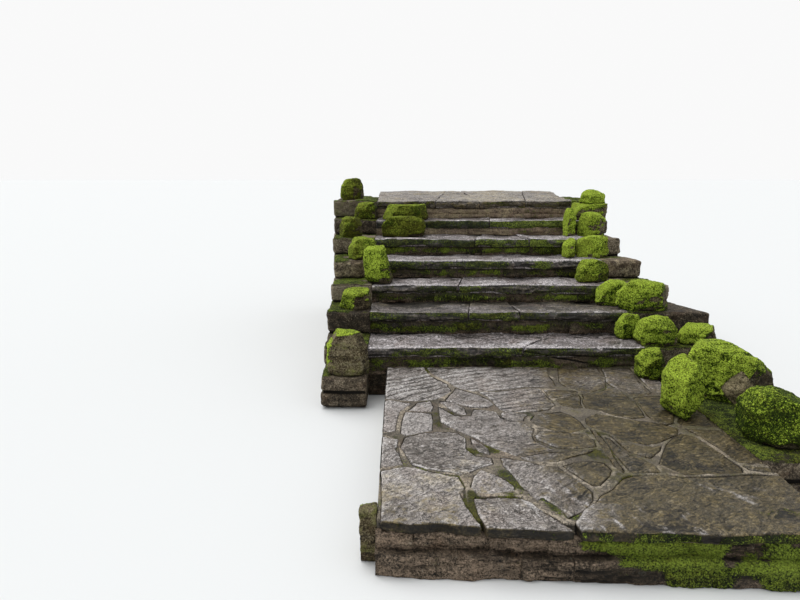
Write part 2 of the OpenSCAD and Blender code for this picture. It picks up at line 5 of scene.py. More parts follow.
import bmesh
import bpy
import numpy as np
from mathutils.kdtree import KDTree
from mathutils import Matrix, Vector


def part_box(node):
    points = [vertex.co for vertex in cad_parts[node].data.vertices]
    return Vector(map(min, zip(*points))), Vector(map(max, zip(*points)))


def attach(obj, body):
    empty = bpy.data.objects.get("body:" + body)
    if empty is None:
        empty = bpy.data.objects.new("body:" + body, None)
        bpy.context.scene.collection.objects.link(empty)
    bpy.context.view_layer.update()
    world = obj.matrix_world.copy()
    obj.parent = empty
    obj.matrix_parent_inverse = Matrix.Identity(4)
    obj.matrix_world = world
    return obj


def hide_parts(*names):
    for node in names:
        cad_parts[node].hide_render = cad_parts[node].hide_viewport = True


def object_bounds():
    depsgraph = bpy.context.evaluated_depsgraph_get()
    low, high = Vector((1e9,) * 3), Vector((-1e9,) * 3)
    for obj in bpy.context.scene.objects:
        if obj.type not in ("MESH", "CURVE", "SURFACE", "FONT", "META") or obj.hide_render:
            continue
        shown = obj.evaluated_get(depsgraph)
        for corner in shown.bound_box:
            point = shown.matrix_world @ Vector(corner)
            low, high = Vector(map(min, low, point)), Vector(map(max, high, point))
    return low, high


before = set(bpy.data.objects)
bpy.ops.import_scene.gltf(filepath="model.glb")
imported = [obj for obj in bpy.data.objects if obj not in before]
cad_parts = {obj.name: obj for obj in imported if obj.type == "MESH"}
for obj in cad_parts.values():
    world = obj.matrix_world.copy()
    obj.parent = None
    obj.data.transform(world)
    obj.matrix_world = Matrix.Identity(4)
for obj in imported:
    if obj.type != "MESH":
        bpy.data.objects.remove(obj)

cad_box = [list(corner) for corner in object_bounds()]
LOWEST, HIGHEST = np.array(cad_box)

# Camera of the photograph: its place, its tilt below the horizon, its lens and its sensor in mm
CAMERA_PLACE = (-0.8, -2.22, 1.671)
CAMERA_TILT = 11.8
CAMERA_LENS = 27.02
SENSOR_WIDTH = 36

# Floor of the picture: how wide it is and how far it lies below the steps
FLOOR_WIDTH = 400
FLOOR_DROP = 0.002
# Light: strength of the sky and of the background, and the lamp's strength, spread and tilts
SKY_STRENGTH = 0.62
BACKGROUND_STRENGTH = 0.95
LAMP_STRENGTH = 1.9
LAMP_SPREAD = 50
LAMP_TILTS = (-14, -20)

# Corners of a solid nearer than WELD are one corner, and measures of the walls' corners that
# differ by less than SAME are one measure
WELD = 0.00002
SAME = 0.0002

# Weights that leave out some axes of a place
IN_PLAN = (1, 1, 0)
ALONG_X = (1, 0, 0)

scene = bpy.context.scene


# Noise: sizes are in metres, and the seed that ends each call picks one of many patterns

def corner_value(i, j, k, seed):
    """Repeatable value from 0 to 1 at a corner of a lattice; the big numbers scatter its bits"""
    n = i * 374761393 + j * 668265263 + k * 1442695041 + seed * 974634777
    n = (n ^ (n >> 13)) & 0xFFFFFFFF
    n = (n * 1274126177) & 0xFFFFFFFF
    n = n ^ (n >> 16)
    return (n & 0xFFFFFF) / 0xFFFFFF


def noise(places, size, seed):
    """Smooth noise from -1 to 1 with features about size across, a number or one for each axis"""
    p = places / np.asarray(size) + 100.0
    cell = np.floor(p).astype(np.int64)
    part = p - cell
    part = part * part * (3 - 2 * part)
    shares = (1 - part, part)
    total = 0
    for i, j, k in product((0, 1), repeat=3):
        share = shares[i][:, 0] * shares[j][:, 1] * shares[k][:, 2]
        total = total + share * corner_value(cell[:, 0] + i, cell[:, 1] + j, cell[:, 2] + k, seed)
    return 2 * total - 1


def layered(places, size, octaves, seed):
    """Noise with finer noise on top, each half as coarse and half as strong, about -1 to 1"""
    size = np.asarray(size, float)
    total = 0
    reach = 0
    for octave in range(octaves):
        share = 0.5 ** octave
        total = total + share * noise(places, share * size, seed + octave)
        reach += share
    return total / reach * 1.4


def cushions(places, size, seed):
    """Rounded bumps from 0 at their seams to 1 at their middles"""
    p = places / size + 100.0
    base = np.floor(p - 0.5).astype(np.int64)
    nearest = np.full(len(p), 9.0)
    for corner in product((0, 1), repeat=3):
        cell = base + corner
        away = 0
        for axis in range(3):
            jitter = corner_value(*cell.T, seed + 17 * axis)
            away = away + (cell[:, axis] + 0.25 + 0.5 * jitter - p[:, axis]) ** 2
        nearest = np.minimum(nearest, away)
    return np.clip(1 - nearest * 1.6, 0, 1)


def smooth(low, high, value):
    """0 below low, 1 above high, and a soft ramp between"""
    t = np.clip((value - low) / (high - low), 0, 1)
    return t * t * (3 - 2 * t)


# Meshes

# What the finishes read on each place: cover of moss, wear with painted highlight, soot with painted
# shade, light or dark tone that on the edging stones also holds painted light and shade, algae,
# dried sandy earth and old moss
MARKS = ("moss", "wear", "soot", "tone", "algae", "sand", "age")


def modified(mesh, kind, **settings):
    """What a modifier makes of a mesh, which is used up"""
    carrier = bpy.data.objects.new("carrier", mesh)
    scene.collection.objects.link(carrier)
    modifier = carrier.modifiers.new(kind, kind)
    for key, value in settings.items():
        setattr(modifier, key, value)
    done = carrier.evaluated_get(bpy.context.evaluated_depsgraph_get())
    result = bpy.data.meshes.new_from_object(done)
    bpy.data.objects.remove(carrier)
    bpy.data.meshes.remove(mesh)
    return result


class Stone:
    """One closed solid while it is worked: its places, normals and the marks its finish reads"""

    def __init__(self, places, faces, voxel, seed):
        mesh = bpy.data.meshes.new("rough")
        mesh.from_pydata(places, [], faces)
        self.mesh = modified(mesh, "REMESH", mode="VOXEL", voxel_size=voxel)
        self.seed = seed
        self.corners = np.round(np.array(places), 4)
        self.places = np.empty((len(self.mesh.vertices), 3), np.float32)
        self.mesh.vertices.foreach_get("co", self.places.ravel())
        self.low = self.places.min(0)
        self.high = self.places.max(0)
        self.middle = (self.low + self.high) / 2
        self.marks = {mark: np.zeros(len(self.places), np.float32) for mark in MARKS}
        self.turn_grain(0)
        self.read_normals()

    def turn_grain(self, degrees):
        """Lay the stone's grain at an angle from the X axis, apart from its neighbours' grain"""
        angle = math.radians(degrees)
        along = self.places[:, 0] * math.cos(angle) + self.places[:, 1] * math.sin(angle)
        across = self.places[:, 1] * math.cos(angle) - self.places[:, 0] * math.sin(angle)
        apart = 3.7 * (self.seed % 97)
        self.grain = np.stack([along + apart, across - apart, self.places[:, 2] + apart], 1)

    def read_normals(self):
        """Renew the normals after the places have moved"""
        self.mesh.vertices.foreach_set("co", self.places.ravel())
        self.mesh.update()
        self.normals = np.empty_like(self.places)
        self.mesh.vertex_normals.foreach_get("vector", self.normals.ravel())

    def push(self, amount):
        """Move the skin outwards by amount"""
        self.places = self.places + self.normals * np.asarray(amount, np.float32)[:, None]
        self.settle()

    def settle(self):
        """Keep the skin in the box of the whole model and renew its normals"""
        self.places = np.clip(self.places, LOWEST, HIGHEST).astype(np.float32)
        self.read_normals()

    def cut(self, direction, keep):
        """Split a flat face off: what lies beyond keep of the furthest reach comes back to it"""
        away = np.array(direction, float)
        away = away / np.linalg.norm(away)
        reach = (self.places - self.middle) @ away
        beyond = np.maximum(reach - keep * reach.max(), 0)
        self.places = (self.places - beyond[:, None] * away).astype(np.float32)

    def chisel(self, faces, depth):
        """Split flat faces off at seeded angles: some all round, and the last one off the top"""
        for number in range(faces):
            one, two, three = [corner_value(self.seed, number, part, 11) for part in range(3)]
            angle = 2 * math.pi * (number + one) / faces
            self.cut((math.cos(angle), math.sin(angle), 1.5 * two - 0.35), 1 - depth * (0.4 + 0.6 * three))
        self.cut((one - 0.5, two - 0.5, 1.2), 1 - 0.5 * depth)
        self.read_normals()

    def pull(self, rounds):
        """Where the skin around each place would draw it to, as an offset in metres"""
        ends = np.empty((len(self.mesh.edges), 2), np.int32)
        self.mesh.edges.foreach_get("vertices", ends.ravel())
        one, other = ends.T
        count = len(self.places)
        links = np.maximum(np.bincount(one, minlength=count) + np.bincount(other, minlength=count), 1)
        around = self.places.astype(float)
        for _ in range(rounds):
            total = np.stack([np.bincount(one, around[other, axis], count)
                              + np.bincount(other, around[one, axis], count)
                              for axis in range(3)], 1)
            around = (around + total / links[:, None]) / 2
        return around - self.places

    def hollow(self, rounds, unit=1.0):
        """How far each place lies below the skin around it, in units; a ridge is below 0"""
        return (self.pull(rounds) * self.normals).sum(1) / unit

    def mark(self, **amounts):
        """Set marks by name, each to one amount or to an amount for each place"""
        for name, amount in amounts.items():
            amount = np.broadcast_to(np.clip(amount, 0, 1), len(self.places))
            self.marks[name] = amount.astype(np.float32)

    def facing(self, axis, sign):
        """1 where the skin looks along an axis, 0 where it doesn't"""
        return smooth(0.45, 0.85, self.normals[:, axis] * sign)

    def turned(self, axis, low=0.35, high=0.7):
        """1 where the skin looks along an axis either way"""
        return smooth(low, high, np.abs(self.normals[:, axis]))

    def lot(self, size, seed):
        """Noise at the stone's middle: one number for the whole stone"""
        return noise(self.middle[None], size, seed)[0]


def solids_of(node):
    """Places and faces of each separate solid of a node"""
    work = bmesh.new()
    work.from_mesh(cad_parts[node].data)
    bmesh.ops.remove_doubles(work, verts=work.verts, dist=WELD)
    work.verts.ensure_lookup_table()
    group_of = {}
    groups = []
    for start in work.verts:
        if start.index in group_of:
            continue
        group_of[start.index] = len(groups)
        members = [start]
        for vert in members:
            for edge in vert.link_edges:
                other = edge.other_vert(vert)
                if other.index not in group_of:
                    group_of[other.index] = len(groups)
                    members.append(other)
        groups.append(members)
    found = []
    for number, members in enumerate(groups):
        order = {vert.index: place for place, vert in enumerate(members)}
        faces = [[order[vert.index] for vert in face.verts] for face in work.faces
                 if group_of[face.verts[0].index] == number]
        found.append(([tuple(vert.co) for vert in members], faces))
    work.free()
    found.sort(key=lambda solid: tuple(np.round(np.mean(solid[0], axis=0), 3)))
    return found


def joined(name, stones, triangles):
    """One object from worked stones of four-sided faces, thinned to a number of triangles"""
    places = np.concatenate([stone.places for stone in stones])
    corners = []
    first = 0
    for stone in stones:
        own = np.empty(len(stone.mesh.loops), np.int32)
        stone.mesh.loops.foreach_get("vertex_index", own)
        corners.append(own + first)
        first += len(stone.places)
    corners = np.concatenate(corners)
    count = len(corners) // 4
    mesh = bpy.data.meshes.new(name)
    mesh.vertices.add(len(places))
    mesh.vertices.foreach_set("co", places.astype(np.float32).ravel())
    mesh.loops.add(len(corners))
    mesh.loops.foreach_set("vertex_index", corners)
    mesh.polygons.add(count)
    mesh.polygons.foreach_set("loop_start", np.arange(0, 4 * count, 4, dtype=np.int32))
    for mark in MARKS:
        values = np.concatenate([stone.marks[mark] for stone in stones])
        mesh.attributes.new(mark, "FLOAT", "POINT").data.foreach_set("value", values)
    grain = np.concatenate([stone.grain for stone in stones]).astype(np.float32)
    mesh.attributes.new("grain", "FLOAT_VECTOR", "POINT").data.foreach_set("vector", grain.ravel())
    mesh.update(calc_edges=True)
    thin = modified(mesh, "DECIMATE", ratio=min(1.0, triangles / (2.0 * count)))
    thin.polygons.foreach_set("use_smooth", np.ones(len(thin.polygons), bool))
    thin.name = name
    piece = bpy.data.objects.new(name, thin)
    scene.collection.objects.link(piece)
    return piece


def dressed(node, work, finish, voxel, triangles):
    """Replace a node by its worked solids: work shapes and marks each stone"""
    stones = []
    for number, (places, faces) in enumerate(solids_of(node)):
        seed = sum(ord(letter) for letter in node) * 7 + number * 13
        stone = Stone(places, faces, voxel, seed)
        work(stone)
        stones.append(stone)
    piece = joined(node + "_dressed", stones, triangles)
    for stone in stones:
        bpy.data.meshes.remove(stone.mesh)
    piece.data.materials.append(finish)
    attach(piece, "root")
    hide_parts(node)


# Shader values

class Value:
    """A socket of a shader that can be reckoned with like a number"""

    def __init__(self, sheet, socket):
        self.sheet = sheet
        self.socket = socket

    def maths(self, operation, first, second=None):
        sockets = {0: first}
        if second is not None:
            sockets[1] = second
        return self.sheet.node("Math", sockets, operation=operation)

    def __add__(self, other):
        return self.maths("ADD", self, other)

    __radd__ = __add__

    def __sub__(self, other):
        return self.maths("SUBTRACT", self, other)

    def __rsub__(self, other):
        return self.maths("SUBTRACT", other, self)

    def __mul__(self, other):
        return self.maths("MULTIPLY", self, other)

    def __abs__(self):
        return self.maths("ABSOLUTE", self)

    def ramp(self, low, high):
        """0 at low, 1 at high, soft between"""
        return self.sheet.node("MapRange", {0: self, 1: low, 2: high, 3: 0.0, 4: 1.0},
                               interpolation_type="SMOOTHSTEP")


class Sheet:
    """The nodes of one material, or of the world"""

    def __init__(self, holder):
        holder.use_nodes = True
        self.holder = holder
        self.tree = holder.node_tree
        self.tree.nodes.clear()

    def node(self, kind, sockets=None, out=0, **settings):
        """Add a node, set or link its inputs, and give back the output that is asked for"""
        made = self.tree.nodes.new("ShaderNode" + kind)
        for key, value in settings.items():
            if key == "stops":
                self.set_stops(made.color_ramp, value)
            else:
                setattr(made, key, value)
        for key, value in (sockets or {}).items():
            if isinstance(value, Value):
                self.tree.links.new(value.socket, made.inputs[key])
            else:
                made.inputs[key].default_value = value
        if out is not None:
            return Value(self, made.outputs[out])

    def set_stops(self, ramp, stops):
        while len(ramp.elements) < len(stops):
            ramp.elements.new(0.5)
        for element, (place, colour) in zip(ramp.elements, stops):
            element.position = place
            element.color = colour

    def mark(self, name):
        """One of the marks on the mesh"""
        return self.node("Attribute", out="Fac", attribute_name=name)

    def stretched(self, scale):
        return self.node("Mapping", {"Vector": self.coords, "Scale": scale})

    def noise(self, scale, detail, rough, where=None, twist=0.0):
        return self.node("TexNoise", {"Vector": where or self.coords, "Scale": scale,
                                      "Detail": detail, "Roughness": rough,
                                      "Distortion": twist}, out="Fac")

    def colours(self, factor, stops):
        return self.node("ValToRGB", {"Fac": factor}, out="Color", stops=stops)

    def blend(self, factor, first, second, how="MIX"):
        return self.node("Mix", {0: factor, 6: first, 7: second}, out=2,
                         data_type="RGBA", blend_type=how)

    def finish(self, colour, roughness, height, depth, shine):
        bump = self.node("Bump", {"Height": height, "Distance": depth}, out="Normal")
        skin = self.node("BsdfPrincipled", {
            "Base Color": colour, "Roughness": roughness, "Normal": bump,
            "Specular IOR Level": shine}, out="BSDF")
        self.node("OutputMaterial", {"Surface": skin}, out=None)
        return self.holder


def shade(red, green, blue):
    """Linear colour of a value seen on a screen, from 0 to 255"""
    return tuple(((v / 255 + 0.055) / 1.055) ** 2.4 if v > 10 else v / 255 / 12.92
                 for v in (red, green, blue)) + (1.0,)


def lit(colour, share):
    """A colour made darker or lighter by a share"""
    return tuple(share * part for part in colour[:3]) + (1.0,)


# Finishes

MOSS_ON_BOULDERS = (shade(44, 58, 8), shade(92, 114, 24), shade(172, 194, 66))
MOSS_IN_SHADE = (shade(30, 37, 9), shade(64, 76, 23), shade(122, 139, 48))
OLD_MOSS = shade(92, 86, 28)
DRY_EARTH = shade(184, 168, 132)
# Colour of wet dirt, which also serves as painted shade in hollows and shaded places
WET_DIRT_AND_SHADE = shade(22, 19, 15)
LICHEN = shade(152, 152, 138)
RUSTY = shade(112, 84, 62)


# What sets the finishes apart: tones of the stone from dark to light, of its worn edges and painted
# glints and of its film of algae, and how matt it is; how fine its streaks and flecks are along each
# axis, and the share of streaks; depth of its relief, its shine, and strength of its grit, flecks and
# painted glints
FINISHES = {
    "paving_sandstone": {
        "stone": ((70, 63, 55), (119, 111, 105), (156, 149, 145)),
        "worn": (180, 174, 170), "film": (66, 54, 12), "matt": 0.42,
        "streak": (14, 26, 26), "along": 0.14, "shine": 0.27,
        "flecks": 4.2, "fleck": (34, 72, 80), "painted_glints": 0.45},
    "wet_sandstone": {
        "stone": ((70, 62, 57), (118, 109, 107), (156, 148, 149)),
        "worn": (188, 181, 181), "film": (70, 63, 42), "matt": 0.42,
        "streak": (20, 32, 60), "along": 0.18,
        "grit": 3.2, "flecks": 4.8, "fleck": (64, 34, 80), "painted_glints": 0.4},
    "walling_stone": {
        "stone": ((32, 27, 19), (68, 58, 46), (112, 97, 82)),
        "worn": (136, 118, 100), "film": (44, 50, 20), "matt": 0.65,
        "streak": (8, 8, 40), "relief": 0.007, "shine": 0.22,
        "grit": 2.1, "flecks": 3.2, "fleck": (20, 20, 72)},
    "rubble_stone": {
        "stone": ((42, 36, 28), (90, 79, 65), (142, 129, 109)),
        "worn": (158, 146, 127), "film": (60, 62, 34), "matt": 0.8,
        "streak": (8, 8, 30), "relief": 0.007, "shine": 0.2,
        "grit": 1.6, "flecks": 2.0, "fleck": (30, 30, 50), "painted_glints": 0.1},
    "edging_stone": {
        "stone": ((42, 35, 23), (90, 79, 58), (138, 126, 99)),
        "worn": (158, 147, 120), "film": (78, 80, 36), "matt": 0.8,
        "streak": (7, 7, 30), "relief": 0.007, "shine": 0.15,
        "grit": 2.0, "moss": MOSS_ON_BOULDERS},
    "mortar": {
        "stone": ((60, 52, 41), (100, 91, 78), (135, 124, 108)),
        "worn": (164, 151, 133), "film": (60, 56, 26), "matt": 0.6,
        "streak": (30, 30, 30), "relief": 0.004, "shine": 0.4}}


def stone_finish(name, stone, worn, film, matt, streak, along=0.2, relief=0.005, shine=0.5, grit=2.6,
                 flecks=1.5, fleck=(60, 60, 60), painted_glints=0.0, moss=MOSS_IN_SHADE, carried=False):
    """Weathered sandstone with worn edges, a film of algae, dirt and moss where the marks say, and with
    painted glints, painted highlight on ridges and painted shade in hollows and shaded places
    """
    sheet = Sheet(bpy.data.materials.new(name))
    if carried:
        sheet.coords = sheet.node("TexCoord", out="Object")
    else:
        sheet.coords = sheet.node("Attribute", out="Vector", attribute_name="grain")
    worn = shade(*worn)
    film = shade(*film)

    # Patterns from coarse to fine, and the same patterns about 0 instead of about 0.5
    mottle = sheet.noise(15, 6.0, 0.7, twist=0.7)
    streaks = sheet.noise(1.0, 6.0, 0.66, sheet.stretched(streak), 0.8)
    speckle = sheet.noise(85, 4.0, 0.72)
    grain = sheet.noise(170, 3.0, 0.75)
    scatter = sheet.noise(1.0, 5.0, 0.75, sheet.stretched(fleck), 0.8)
    fuzz = sheet.noise(85, 4.0, 0.8)
    clumps = sheet.noise(30, 4.0, 0.65)
    tufts = 1 - sheet.node("TexVoronoi", {"Vector": sheet.coords, "Scale": 105.0}, out="Distance")
    mottled, streaked, speckled, grained, scattered, fuzzy, clumpy, tufted = [
        pattern - 0.5 for pattern in (mottle, streaks, speckle, grain, scatter, fuzz, clumps, tufts)]

    # Bare stone, its worn edges with painted highlight on ridges, and the sand and rust on it
    tone = sheet.mark("tone")
    mixed = (mottle * (0.62 - along) + streaks * along + speckle * 0.34 + grain * 0.16
             + tone * 0.16 - 0.14)
    dark, middle, light = [shade(*part) for part in stone]
    base = sheet.colours(mixed, [(0.41, dark), (0.5, middle), (0.59, light)])
    wear = (sheet.mark("wear") + streaked * 1.4 + speckled * 1.4).ramp(0.25, 0.85)
    base = sheet.blend(wear, base, worn)
    sand = (sheet.mark("sand") + mottled * 1.8 + speckled * 0.6).ramp(0.3, 0.9)
    base = sheet.blend(sand * 0.6, base, DRY_EARTH)
    rust = sheet.noise(3.0, 4.0, 0.6, twist=0.8).ramp(0.5, 0.66) * (speckle - 0.1)
    base = sheet.blend(rust * 0.5, base, RUSTY)

    # Film of algae, and painted glints in it: pale specks that stand in for the highlights of wet stone
    algae = (sheet.mark("algae") + mottled * 1.6 + speckled * 0.8).ramp(0.3, 0.9)
    thick = sheet.colours(mottle * 0.4 + streaks * 0.3 + scatter * 0.3,
                          [(0.41, lit(film, 0.4)), (0.5, film), (0.6, lit(film, 2.2))])
    base = sheet.blend(algae * 0.86, base, thick)
    painted_glint = scatter.ramp(0.5, 0.68) * (1 - algae * 0.8)
    base = sheet.blend(painted_glint * painted_glints, base, worn)

    # Dirt in joints, fissures and pits, painted shade in hollows and shaded places, spots of lichen, and
    # grit over all of it
    soot = (sheet.mark("soot") + speckled + streaked * 1.4).ramp(0.2, 0.95)
    veins = 1 - abs(sheet.noise(4.5, 3.0, 0.6, twist=1.2) - 0.5).ramp(0.0, 0.01)
    fissure = veins * sheet.noise(9, 2.0, 0.5).ramp(0.5, 0.6)
    pits = sheet.noise(110, 2.0, 0.5).ramp(0.66, 0.72)
    dirt_and_shade = soot * 0.9 + fissure * 0.5 + pits * 0.35
    base = sheet.blend(dirt_and_shade.ramp(0.0, 1.0), base, WET_DIRT_AND_SHADE)
    spots = sheet.noise(34, 4.0, 0.65, twist=0.8).ramp(0.64, 0.7)
    base = sheet.blend(spots * (1 - soot) * 0.28, base, LICHEN)
    base = sheet.blend(1.0, base, grained * grit + speckled * grit + scattered * flecks + 1.0,
                       "MULTIPLY")

    # Moss, fresh and old, darker between its tufts and lighter on their tips as painted shade and
    # highlight, and lighter or darker with the tone mark, which on the edging stones holds painted light
    deep, green, bright = moss
    fresh = sheet.colours(clumps * 0.36 + fuzz * 0.72 + grain * 0.36 + tone * 0.32 - 0.39,
                          [(0.41, deep), (0.5, green), (0.59, bright)])
    old = (sheet.mark("age") + clumpy * 1.2 + mottled * 1.2).ramp(0.1, 0.9)
    fresh = sheet.blend(old * 0.6, fresh, OLD_MOSS)
    fresh = sheet.blend(1.0, fresh, tufted * 1.3 + fuzzy * 1.2 + grained * 2.4 + 0.95, "MULTIPLY")
    cover = (sheet.mark("moss") + fuzzy + mottled).ramp(0.36, 0.62)

    colour = sheet.blend(cover, base, fresh)
    rough = matt + mottled + speckled * 0.6 + dirt_and_shade * 0.15
    roughness = rough * (1 - cover) + cover * 0.95
    height = (mottle * 0.6 + streaks * 0.5 + speckle * 0.5 + scatter * 0.4 + grain * 0.22
              - fissure * 0.6 - pits * 0.4) * (1 - cover)
    height = height + (fuzz * 1.4 + tufts * 0.8 + grain * 0.6 + clumps * 0.9) * cover
    return sheet.finish(colour, roughness, height, relief, shine)


# How the stones are worked

def cleft(grain, size, swell, step, seed):
    """Split face of sandstone: shallow levels that end in small soft steps"""
    level = layered(grain * IN_PLAN, size, 4, seed) * swell / step
    whole = np.floor(level)
    return (whole + smooth(0.72, 1.0, level - whole)) * step


# Flags with ripple marks: where their middles are, within SAME_FLAG, how the ripples lie, how far
# apart they are and how deep
SAME_FLAG = 0.12
RIPPLED = (((-0.67, 1.815), 32, 0.07, 0.004), ((-0.14, 1.9), 24, 0.062, 0.0024),
           ((-0.035, 1.49), 20, 0.056, 0.0026))
# Direction in plan of the pale strokes on the front flags
STROKE_WAY = (0.39, -0.92)


def ripples(stone):
    """Ripple marks of an old sandy bed: deep on the flags that show them, faint on the others"""
    for (x, y), degrees, apart, depth in RIPPLED:
        if math.hypot(stone.middle[0] - x, stone.middle[1] - y) < SAME_FLAG:
            stone.turn_grain(degrees)
            across = stone.grain[:, 1] + 0.5 * apart * noise(stone.grain, (0.3, 0.12, 1), 3)
            wave = 1 - 2 * np.abs(np.sin(across * math.pi / apart)) ** 0.7
            return -depth * wave * smooth(-0.9, 0.2, noise(stone.grain, (0.35, 0.15, 1), 5))
    across = stone.grain[:, 1] + 0.03 * noise(stone.grain, (0.25, 0.1, 1), 3)
    faint = smooth(-0.1, 0.6, noise(stone.grain, (0.3, 0.2, 1), 6))
    return 0.0011 * faint * np.sin(across * 2 * math.pi / 0.042)


def work_flag(stone):
    """Worn flag, each with its own tilt and grain: wet and green on the right, sandy on the left"""
    tilt = [stone.lot(0.37, seed) for seed in (1, 2, 3)]
    stone.turn_grain(20 + 50 * tilt[2] + 35 * tilt[0])
    rib = ripples(stone)
    top = smooth(0.3, 0.7, stone.normals[:, 2])
    p = stone.places
    x, y, z = p.T
    g = stone.grain
    drop = stone.high[2] - z
    lift = (tilt[0] * (x - stone.middle[0]) + tilt[1] * (y - stone.middle[1])) * 0.01
    shape = cleft(g, (0.2, 0.13, 1), 0.011, 0.0024, stone.seed)
    shape = shape + 0.0014 * layered(g, (0.07, 0.035, 1), 3, stone.seed + 5) + rib
    upright = stone.turned(2, 0.8, 0.4)
    fore = stone.facing(1, -1) * smooth(0.16, 0.1, y)
    rough = layered(p, (0.22, 0.22, 0.04), 4, 8)
    bite = smooth(0.1, 0.8, layered(p, (0.1, 0.1, 0.05), 3, 6))
    frayed = upright * (1 - fore) * (0.004 * layered(p, 0.05, 3, stone.seed + 1)
                                     + 0.004 * smooth(0.12, 0.04, y))
    stone.push(top * (shape + lift + tilt[2] * 0.0015) + frayed + fore * (0.014 * rough - 0.012 * bite))

    # Parts of the paving from left to right and from front to back, and stains across all of it
    p = stone.places
    x, y, z = p.T
    hollow = stone.hollow(5, 0.001)
    right = smooth(-0.45, 0.35, x + 0.06 * noise(p, 0.2, 62))
    right = right * (1 - 0.4 * smooth(1.2, 1.9, y))
    near = smooth(0.6, 0.1, y)
    left = smooth(-0.1, -0.7, x)
    patch = layered(p, (0.35, 0.35, 1), 4, 61)
    stain = layered(p, (0.16, 0.16, 1), 3, 12)
    edge = smooth(0.004, 0.013, drop) * (1 - fore)
    open_joint = smooth(-0.5, 0.4, noise(p, 0.16, 91))
    a, b = STROKE_WAY
    slanted = np.stack([a * x + b * y, a * y - b * x, z], 1)
    strokes = near * (1 - left) * smooth(0.15, 0.7, layered(slanted, (0.1, 0.022, 1), 3, 63))
    below = fore * smooth(0.002, 0.009, drop)
    # Soot holds painted shade in hollows, on low levels and in ripple troughs; wear holds painted
    # highlight on high levels, ridges and ripple crests
    stone.mark(
        algae=0.06 + 0.98 * right + 0.3 * patch + 0.3 * near * (0.6 + stain) + 0.4 * edge
            + 0.7 * fore + 0.19 * left * near - 0.6 * strokes,
        sand=left * smooth(1.5, 0.4, y) * (0.36 + 0.5 * patch - 0.3 * stain) * (1 - fore)
            + 0.25 * near * patch,
        soot=edge * (0.3 + 0.5 * open_joint) + below * (0.82 - 0.3 * rough) + top * (
            smooth(0.0, -0.005, shape) * 0.25 + 0.24 * right + 0.3 * hollow
            + smooth(0.0005, 0.0035, -rib) * 0.6 + 0.25 * smooth(0.0, 0.8, stain)),
        wear=top * (0.18 + 0.25 * patch - 0.25 * hollow + smooth(0.0, 0.005, shape) * 0.2
                    + smooth(0.0, 0.003, rib) * 0.3 - 0.3 * right - 0.2 * left * near + 0.8 * strokes)
            + 0.2 * fore * rough,
        tone=(0.5 + 0.6 * tilt[2]) * (1 - fore) + fore * (0.2 + 0.3 * rough),
        age=0.35 + 0.4 * patch,
        moss=edge * 0.32 * (0.5 + noise(p, 0.2, 31)) + 0.18 * right * patch
            + 0.26 * near * smooth(0.1, 0.7, stain)
            + below * (0.15 + 0.7 * smooth(-0.1, 0.6, layered(p, 0.12, 3, 40) + 0.8 * right - 0.4)))


# The upper edges of a flag lie in its uppermost RIM_HEIGHT, and are followed in steps of RIM_STEP
RIM_HEIGHT = 0.012
RIM_STEP = 0.006
# Joints full of moss: where each starts and ends in plan
MOSSY_JOINTS = (
    ((-0.28, 0.52), (-0.06, 0.13)), ((-0.47, 0.3), (-0.45, 0.02)), ((-0.5, 1.28), (-0.38, 1.3)),
    ((0.3, 0.98), (0.42, 0.9)), ((-0.55, 0.72), (-0.3, 0.76)), ((-0.05, 1.36), (0.02, 1.16)))


def nearest_flag(places):
    """Distance in plan from each place to the nearest side of a flag"""
    sides = []
    for node in ("landing_flags_front", "landing_flags_back"):
        for points, faces in solids_of(node):
            rim = max(point[2] for point in points) - RIM_HEIGHT
            for face in faces:
                for start, end in zip(face, face[1:] + face[:1]):
                    a, b = np.array(points[start]), np.array(points[end])
                    if min(a[2], b[2]) > rim:
                        count = int(np.linalg.norm(b - a) / RIM_STEP) + 1
                        sides += [tuple((a + (b - a) * n / count) * IN_PLAN) for n in range(count)]
    sides = sorted(set(sides))
    tree = KDTree(len(sides))
    for number, side in enumerate(sides):
        tree.insert(side, number)
    tree.balance()
    return np.array([tree.find((place[0], place[1], 0))[2] for place in places])


def away_from(places, start, end):
    """Distance in plan from each place to a straight line between two points"""
    start = np.array(start)
    run = np.array(end) - start
    along = np.clip((places[:, :2] - start) @ run / (run @ run), 0, 1)
    return np.linalg.norm(places[:, :2] - start - along[:, None] * run, axis=1)


